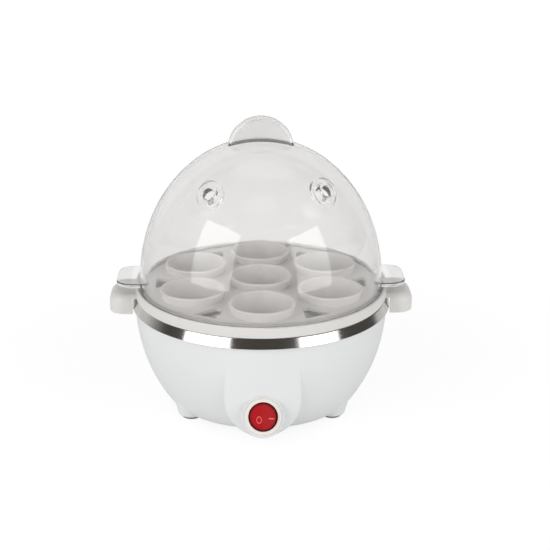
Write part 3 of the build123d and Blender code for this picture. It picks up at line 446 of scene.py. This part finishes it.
class EGGCOOKER_OT_lid(CookerOperator, bpy.types.Operator):
    """Finish the clear lid"""

    bl_idname = "egg_cooker.lid"
    bl_label = "Lid"

    def execute(self, context):
        tint = context.scene.cooker_finish.lid_tint
        clear = moulded(
            "Lid plastic", tint, roughness=0.05, grain=260.0, bump=0.012, darken=0.985, spread=0.04
        )
        tree = clear.node_tree
        shader = tree.nodes["Principled BSDF"]
        shader.inputs["Transmission Weight"].default_value = 0.95
        shader.inputs["IOR"].default_value = 1.3
        shader.inputs["Coat Weight"].default_value = 0.6
        shader.inputs["Coat Roughness"].default_value = 0.03
        rays = tree.nodes.new("ShaderNodeLightPath")
        let_by = calculated(tree, "MULTIPLY", rays.outputs["Is Shadow Ray"], SHADOW_CUT_SHARE)
        tree.links.new(calculated(tree, "SUBTRACT", 1.0, let_by), shader.inputs["Alpha"])
        # Painted shade: the fin and ears get a deeper tint than the dome
        axes = axes_of(tree, place_on_piece(tree))
        fin = smooth_step(tree, axes["Z"], *FIN_HEIGHTS)
        ears = smooth_step(tree, calculated(tree, "ABSOLUTE", axes["X"]), *EAR_REACHES)
        fin_and_ear_shade = calculated(tree, "MAXIMUM", fin, ears)
        tint_where(clear, fin_and_ear_shade, darker(tint, FIN_AND_EAR_SHADE_SHARE))
        wear(clear, "lid")
        return {"FINISHED"}


# Distances from the switch's axis between which the rocker's red deepens: painted shade along the
# rocker's rim where it sinks into its housing
ROCKER_RIM_SHADE_REACHES = (0.0064, 0.0086)


def switch_reach(tree):
    """Distance of a point on the rocker from the switch's axis, which runs out through its face."""
    from_pivot = tree.nodes.new("ShaderNodeVectorMath")
    from_pivot.operation = "SUBTRACT"
    from_pivot.inputs[1].default_value = rocker_joint["pos_m"]
    tree.links.new(place_on_piece(tree), from_pivot.inputs[0])
    across = tree.nodes.new("ShaderNodeVectorMath")
    across.operation = "CROSS_PRODUCT"
    outward = Vector((1, 0, 0)).cross(Vector(rocker_joint["axis"]))
    across.inputs[1].default_value = outward.normalized()
    tree.links.new(from_pivot.outputs[0], across.inputs[0])
    return length_of(tree, across.outputs[0])


class EGGCOOKER_OT_switch(CookerOperator, bpy.types.Operator):
    """Finish the switch's housing and its red rocker"""

    bl_idname = "egg_cooker.switch"
    bl_label = "Switch"

    def execute(self, context):
        look = context.scene.cooker_finish
        wear(moulded("Housing plastic", look.housing_cream, roughness=0.3), "switch_housing")
        red = moulded(
            "Rocker plastic", look.rocker_red, roughness=0.5, grain=1100.0, bump=0.06, darken=0.9
        )
        tree = red.node_tree
        tree.nodes["Principled BSDF"].inputs["Specular IOR Level"].default_value = 0.12
        # Painted shade: the red darkens along the rocker's rim next to its housing
        rim_shade = smooth_step(tree, switch_reach(tree), *ROCKER_RIM_SHADE_REACHES)
        tint_where(red, rim_shade, look.rim_shade_red)
        wear(red, "switch_rocker")
        return {"FINISHED"}


# From the rocker's pivot out to its ridge
RIDGE_HEIGHT = 0.0026
# Height of the marks over the line of the ring, and the rounding of the bar over the same
MARK_HEIGHT_SHARE = 0.4
BAR_ROUNDING_SHARE = 0.15
MARK_SMOOTHING = math.radians(40)


def rocker_faces():
    """Frames on the rocker's two flat faces at rest, left and right: middle, slope, up and off."""
    upright = Vector(rocker_joint["axis"]).normalized()
    half_throw = math.radians(rocker_joint["range_deg"][1] / 2)
    right = Vector((1, 0, 0))
    outward = right.cross(upright)
    across = right * math.cos(half_throw) + outward * math.sin(half_throw)
    normal = outward * math.cos(half_throw) - right * math.sin(half_throw)
    middle = Vector(rocker_joint["pos_m"]) + normal * RIDGE_HEIGHT
    frames = []
    for side in (-1, 1):
        slope = across * side * math.cos(half_throw) + normal * math.sin(half_throw)
        off_face = normal * math.cos(half_throw) - across * side * math.sin(half_throw)
        frames.append((middle, slope.normalized(), upright, off_face.normalized()))
    return frames


def put_on_face(piece, face, along, drop):
    """Moves a piece modelled round the origin onto a rocker face, with its place in its mesh."""
    middle, slope, upright, off_face = face
    right = upright.cross(off_face)
    place = Matrix((right, upright, off_face)).transposed().to_4x4()
    place.translation = middle + slope * along - upright * drop
    piece.matrix_world = place
    bpy.ops.object.transform_apply(location=True, rotation=True, scale=True)


class EGGCOOKER_OT_marks(CookerOperator, bpy.types.Operator):
    """Model the ring and the bar on the rocker"""

    bl_idname = "egg_cooker.marks"
    bl_label = "Rocker marks"

    def execute(self, context):
        size = context.scene.cooker_marks
        pink = context.scene.cooker_finish.mark_pink
        ink = moulded("Mark paint", pink, roughness=0.45, grain=1500.0)
        left, right = rocker_faces()

        bpy.ops.object.select_all(action="DESELECT")
        half_line = size.ring_line / 2
        bpy.ops.mesh.primitive_torus_add(
            major_radius=size.ring_height / 2 - half_line,
            minor_radius=half_line,
            major_segments=48,
            minor_segments=12,
        )
        ring = context.active_object
        ring.name = "rocker_ring_mark"
        bpy.ops.object.mode_set(mode="EDIT")
        bpy.ops.transform.resize(value=(size.ring_width_share, 1, MARK_HEIGHT_SHARE))
        bpy.ops.object.mode_set(mode="OBJECT")
        put_on_face(ring, left, size.ring_offset, size.ring_drop)

        bpy.ops.object.select_all(action="DESELECT")
        bpy.ops.mesh.primitive_cube_add(size=1)
        bar = context.active_object
        bar.name = "rocker_bar_mark"
        bpy.ops.object.mode_set(mode="EDIT")
        bar_height = size.ring_line * MARK_HEIGHT_SHARE
        bpy.ops.transform.resize(value=(size.bar_length, size.bar_line, bar_height))
        rounding = size.ring_line * BAR_ROUNDING_SHARE
        bpy.ops.mesh.bevel(offset=rounding, segments=3, affect="EDGES")
        bpy.ops.object.mode_set(mode="OBJECT")
        put_on_face(bar, right, size.bar_offset, size.bar_drop)

        for piece in (ring, bar):
            piece.data.materials.append(ink)
            bpy.ops.object.select_all(action="DESELECT")
            piece.select_set(True)
            bpy.ops.object.shade_smooth_by_angle(angle=MARK_SMOOTHING)
            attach(piece, "rocker")
        return {"FINISHED"}


class EGGCOOKER_OT_works(CookerOperator, bpy.types.Operator):
    """Finish the pieces inside the base and the switch"""

    bl_idname = "egg_cooker.works"
    bl_label = "Works"

    def execute(self, context):
        works = context.scene.cooker_works
        wear(
            metal("Zinc plate", works.zinc_grey, roughness=0.34),
            "cover_screws",
            "dish_screws",
            "dish_standoffs",
            "element_pins",
            "thermostat_strap",
            "thermostat_screws",
            "fuse_clip",
            "plunger_spring",
        )
        wear(
            metal("Cast aluminium", works.cast_grey, roughness=0.45, line_scale=700.0, bump=0.3),
            "heat_spreader",
            "thermostat_cap",
            "thermal_fuse",
        )
        wear(
            metal("Element sheath", works.sheath_brown, roughness=0.5, line_scale=900.0, bump=0.2),
            "heating_element",
        )
        wear(
            metal("Brass strip", works.brass_yellow, roughness=0.3),
            "thermostat_blades",
            "contact_arm",
            "switch_blades",
        )
        ceramic = moulded(
            "Insulator ceramic", works.ceramic_cream, roughness=0.65, grain=600.0, bump=0.3
        )
        wear(ceramic, "element_insulators")
        black = moulded(
            "Thermostat body", works.body_black, roughness=0.5, grain=700.0, bump=0.3, darken=0.7
        )
        wear(black, "thermostat_body")
        nylon = moulded("Plain nylon", works.nylon_cream, roughness=0.5)
        wear(nylon, "rocker_plunger", "gland_nut")
        brown = moulded(
            "Brown sleeve", works.sleeve_brown, roughness=0.55, grain=900.0, bump=0.2, darken=0.85
        )
        wear(brown, "live_wire", "switched_wire", "heater_wire")
        blue = moulded(
            "Blue sleeve", works.sleeve_blue, roughness=0.55, grain=900.0, bump=0.2, darken=0.85
        )
        wear(blue, "neutral_wire", "fuse_wire", "lamp_wire")
        glass = moulded("Lamp glass", works.lamp_amber, roughness=0.06, grain=300.0, bump=0.02)
        glass_shader = glass.node_tree.nodes["Principled BSDF"]
        glass_shader.inputs["Transmission Weight"].default_value = 1.0
        wear(glass, "switch_lamp")
        return {"FINISHED"}


# Studio

LID_MIDDLE = (0, 0, 0.11)
RIGHT_POWER_SHARE = 0.78
FILL_LIGHT = (0.545, 0.548, 0.551)
ROOM_IN_FRONT = (0.066, 0.06, 0.054)
ROOM_BEHIND = (0.75, 0.75, 0.74)
# How far to the back a mirrored ray points where the room starts and ends turning light
ROOM_TURNS = (0.14, 0.88)
# How much pointing to the right counts as pointing to the front
ROOM_LEAN = -0.19
# Ray depth past which a mirrored ray comes from inside clear plastic
WORLD_PLAIN_DEPTH = 2.5
FLOOR_PLAIN_DEPTH = 1.5
FLOOR_SIZE = 12
FLOOR_PALE = (0.95, 0.95, 0.95)
FLOOR_ROUGHNESS = 0.7
WHITE = (1, 1, 1)
GLOW_STRENGTH = 1.06
# Distances from the cooker and the floor's share of glow there
GLOW_REACHES = (0.1, 0.5)
GLOW_SHARES = (0.82, 0.95)
SENSOR_WIDTH = 36.0


def softbox(name, azimuth, rise, width, height, power, distance):
    """An area lamp on the lid, azimuth degrees to the right of the front and rise degrees up."""
    turn, tilt = math.radians(azimuth), math.radians(rise)
    level = Vector((math.sin(turn), -math.cos(turn), 0))
    toward = level * math.cos(tilt) + Vector((0, 0, math.sin(tilt)))
    bpy.ops.object.light_add(type="AREA", location=Vector(LID_MIDDLE) + toward * distance)
    lamp = bpy.context.active_object
    lamp.name = name
    lamp.rotation_euler = (-toward).to_track_quat("-Z", "Y").to_euler()
    lamp.data.shape = "RECTANGLE"
    lamp.data.size = width
    lamp.data.size_y = height
    lamp.data.energy = power


def white_to_view(tree, plain_depth):
    """A mask of the rays that show the backdrop: seen straight, through clear plastic or in it."""
    rays = tree.nodes.new("ShaderNodeLightPath").outputs
    deep = calculated(tree, "GREATER_THAN", rays["Ray Depth"], plain_depth)
    mirrored = calculated(tree, "MULTIPLY", deep, rays["Is Glossy Ray"])
    clear = calculated(tree, "MAXIMUM", rays["Is Transmission Ray"], mirrored)
    unscattered = calculated(tree, "LESS_THAN", rays["Diffuse Depth"], 0.5)
    through = calculated(tree, "MULTIPLY", clear, unscattered)
    return calculated(tree, "MAXIMUM", rays["Is Camera Ray"], through)


def build_studio_world(world):
    """Even grey light, white to the camera and through clear pieces, mirrored as a darker room."""
    world.use_nodes = True
    tree = world.node_tree
    tree.nodes.clear()
    output = tree.nodes.new("ShaderNodeOutputWorld")
    sky = tree.nodes.new("ShaderNodeBackground")
    rays = tree.nodes.new("ShaderNodeLightPath")
    direction = tree.nodes.new("ShaderNodeTexCoord").outputs["Generated"]
    axes = axes_of(tree, direction)
    back_left = calculated(tree, "MULTIPLY_ADD", axes["X"], ROOM_LEAN, axes["Y"])
    behind = smooth_step(tree, back_left, *ROOM_TURNS)
    room = blended(tree, behind, ROOM_IN_FRONT, ROOM_BEHIND)
    light = blended(tree, rays.outputs["Is Glossy Ray"], FILL_LIGHT, room)
    seen = blended(tree, white_to_view(tree, WORLD_PLAIN_DEPTH), light, WHITE)
    tree.links.new(seen, sky.inputs["Color"])
    tree.links.new(sky.outputs[0], output.inputs["Surface"])


def build_floor_paint():
    """Pale floor that shows white to the camera and keeps a soft shadow near the cooker."""
    paint = bpy.data.materials.new("Floor paint")
    paint.use_nodes = True
    tree = paint.node_tree
    shader = tree.nodes["Principled BSDF"]
    shader.inputs["Base Color"].default_value = (*FLOOR_PALE, 1)
    shader.inputs["Roughness"].default_value = FLOOR_ROUGHNESS
    glow = tree.nodes.new("ShaderNodeEmission")
    glow.inputs["Color"].default_value = (*WHITE, 1)
    glow.inputs["Strength"].default_value = GLOW_STRENGTH
    reach = length_of(tree, place_on_piece(tree))
    share = smooth_step(tree, reach, *GLOW_REACHES, *GLOW_SHARES)
    mix = tree.nodes.new("ShaderNodeMixShader")
    seen = calculated(tree, "MULTIPLY", white_to_view(tree, FLOOR_PLAIN_DEPTH), share)
    tree.links.new(seen, mix.inputs[0])
    tree.links.new(shader.outputs[0], mix.inputs[1])
    tree.links.new(glow.outputs[0], mix.inputs[2])
    tree.links.new(mix.outputs[0], tree.nodes["Material Output"].inputs["Surface"])
    return paint


class EGGCOOKER_OT_stage(CookerOperator, bpy.types.Operator):
    """Set the floor, the lights and the camera"""

    bl_idname = "egg_cooker.stage"
    bl_label = "Stage"

    def execute(self, context):
        stage = context.scene.cooker_stage
        bpy.ops.object.select_all(action="DESELECT")
        bpy.ops.mesh.primitive_plane_add(size=FLOOR_SIZE)
        floor = context.active_object
        floor.name = "studio_floor"
        floor.data.materials.append(build_floor_paint())

        context.scene.world = bpy.data.worlds.new("Studio")
        build_studio_world(context.scene.world)
        softbox(
            "left_softbox",
            azimuth=-47.5,
            rise=18.0,
            width=0.72,
            height=0.8,
            power=stage.light_power,
            distance=stage.light_distance,
        )
        softbox(
            "right_softbox",
            azimuth=49.0,
            rise=14.5,
            width=0.62,
            height=0.72,
            power=stage.light_power * RIGHT_POWER_SHARE,
            distance=stage.light_distance,
        )

        rise, turn = stage.camera_rise, stage.camera_turn
        aim = Vector((0, 0, stage.aim_height))
        level = Vector((math.sin(turn), -math.cos(turn), 0))
        toward = level * math.cos(rise) + Vector((0, 0, math.sin(rise)))
        bpy.ops.object.camera_add(location=aim + toward * stage.camera_distance)
        camera = context.active_object
        camera.rotation_euler = (math.pi / 2 - rise, 0, turn)
        camera.data.sensor_width = SENSOR_WIDTH
        camera.data.lens = stage.camera_lens
        camera.data.shift_x, camera.data.shift_y = stage.camera_shift
        context.scene.camera = camera
        context.scene.view_settings.view_transform = "Standard"
        return {"FINISHED"}


# Panel and run

OPERATORS = (
    EGGCOOKER_OT_base,
    EGGCOOKER_OT_dish,
    EGGCOOKER_OT_tray,
    EGGCOOKER_OT_lid,
    EGGCOOKER_OT_switch,
    EGGCOOKER_OT_marks,
    EGGCOOKER_OT_works,
    EGGCOOKER_OT_stage,
)


class EGGCOOKER_PT_looks(bpy.types.Panel):
    """Lists the steps that finish the egg cooker, and their settings"""

    bl_idname = "EGGCOOKER_PT_looks"
    bl_label = "Egg cooker"
    bl_space_type = "VIEW_3D"
    bl_region_type = "UI"
    bl_category = "Egg cooker"

    def draw(self, context):
        scene = context.scene
        for operator in OPERATORS:
            self.layout.operator(operator.bl_idname)
        groups = (scene.cooker_finish, scene.cooker_works, scene.cooker_marks, scene.cooker_stage)
        for group in groups:
            for name in group.bl_rna.properties.keys():
                if name not in {"rna_type", "name"}:
                    self.layout.prop(group, name)


CLASSES = (
    CookerFinish,
    CookerWorks,
    CookerMarks,
    CookerStage,
    *OPERATORS,
    EGGCOOKER_PT_looks,
)


def register():
    for cls in CLASSES:
        bpy.utils.register_class(cls)
    bpy.types.Scene.cooker_finish = PointerProperty(type=CookerFinish)
    bpy.types.Scene.cooker_works = PointerProperty(type=CookerWorks)
    bpy.types.Scene.cooker_marks = PointerProperty(type=CookerMarks)
    bpy.types.Scene.cooker_stage = PointerProperty(type=CookerStage)


def unregister():
    del bpy.types.Scene.cooker_stage
    del bpy.types.Scene.cooker_marks
    del bpy.types.Scene.cooker_works
    del bpy.types.Scene.cooker_finish
    for cls in reversed(CLASSES):
        bpy.utils.unregister_class(cls)


def main():
    register()
    build_moulded_skin()
    build_turned_metal()
    bpy.ops.egg_cooker.base()
    bpy.ops.egg_cooker.dish()
    bpy.ops.egg_cooker.tray()
    bpy.ops.egg_cooker.lid()
    bpy.ops.egg_cooker.switch()
    bpy.ops.egg_cooker.marks()
    bpy.ops.egg_cooker.works()
    bpy.ops.egg_cooker.stage()


if __name__ == "__main__":
    main()
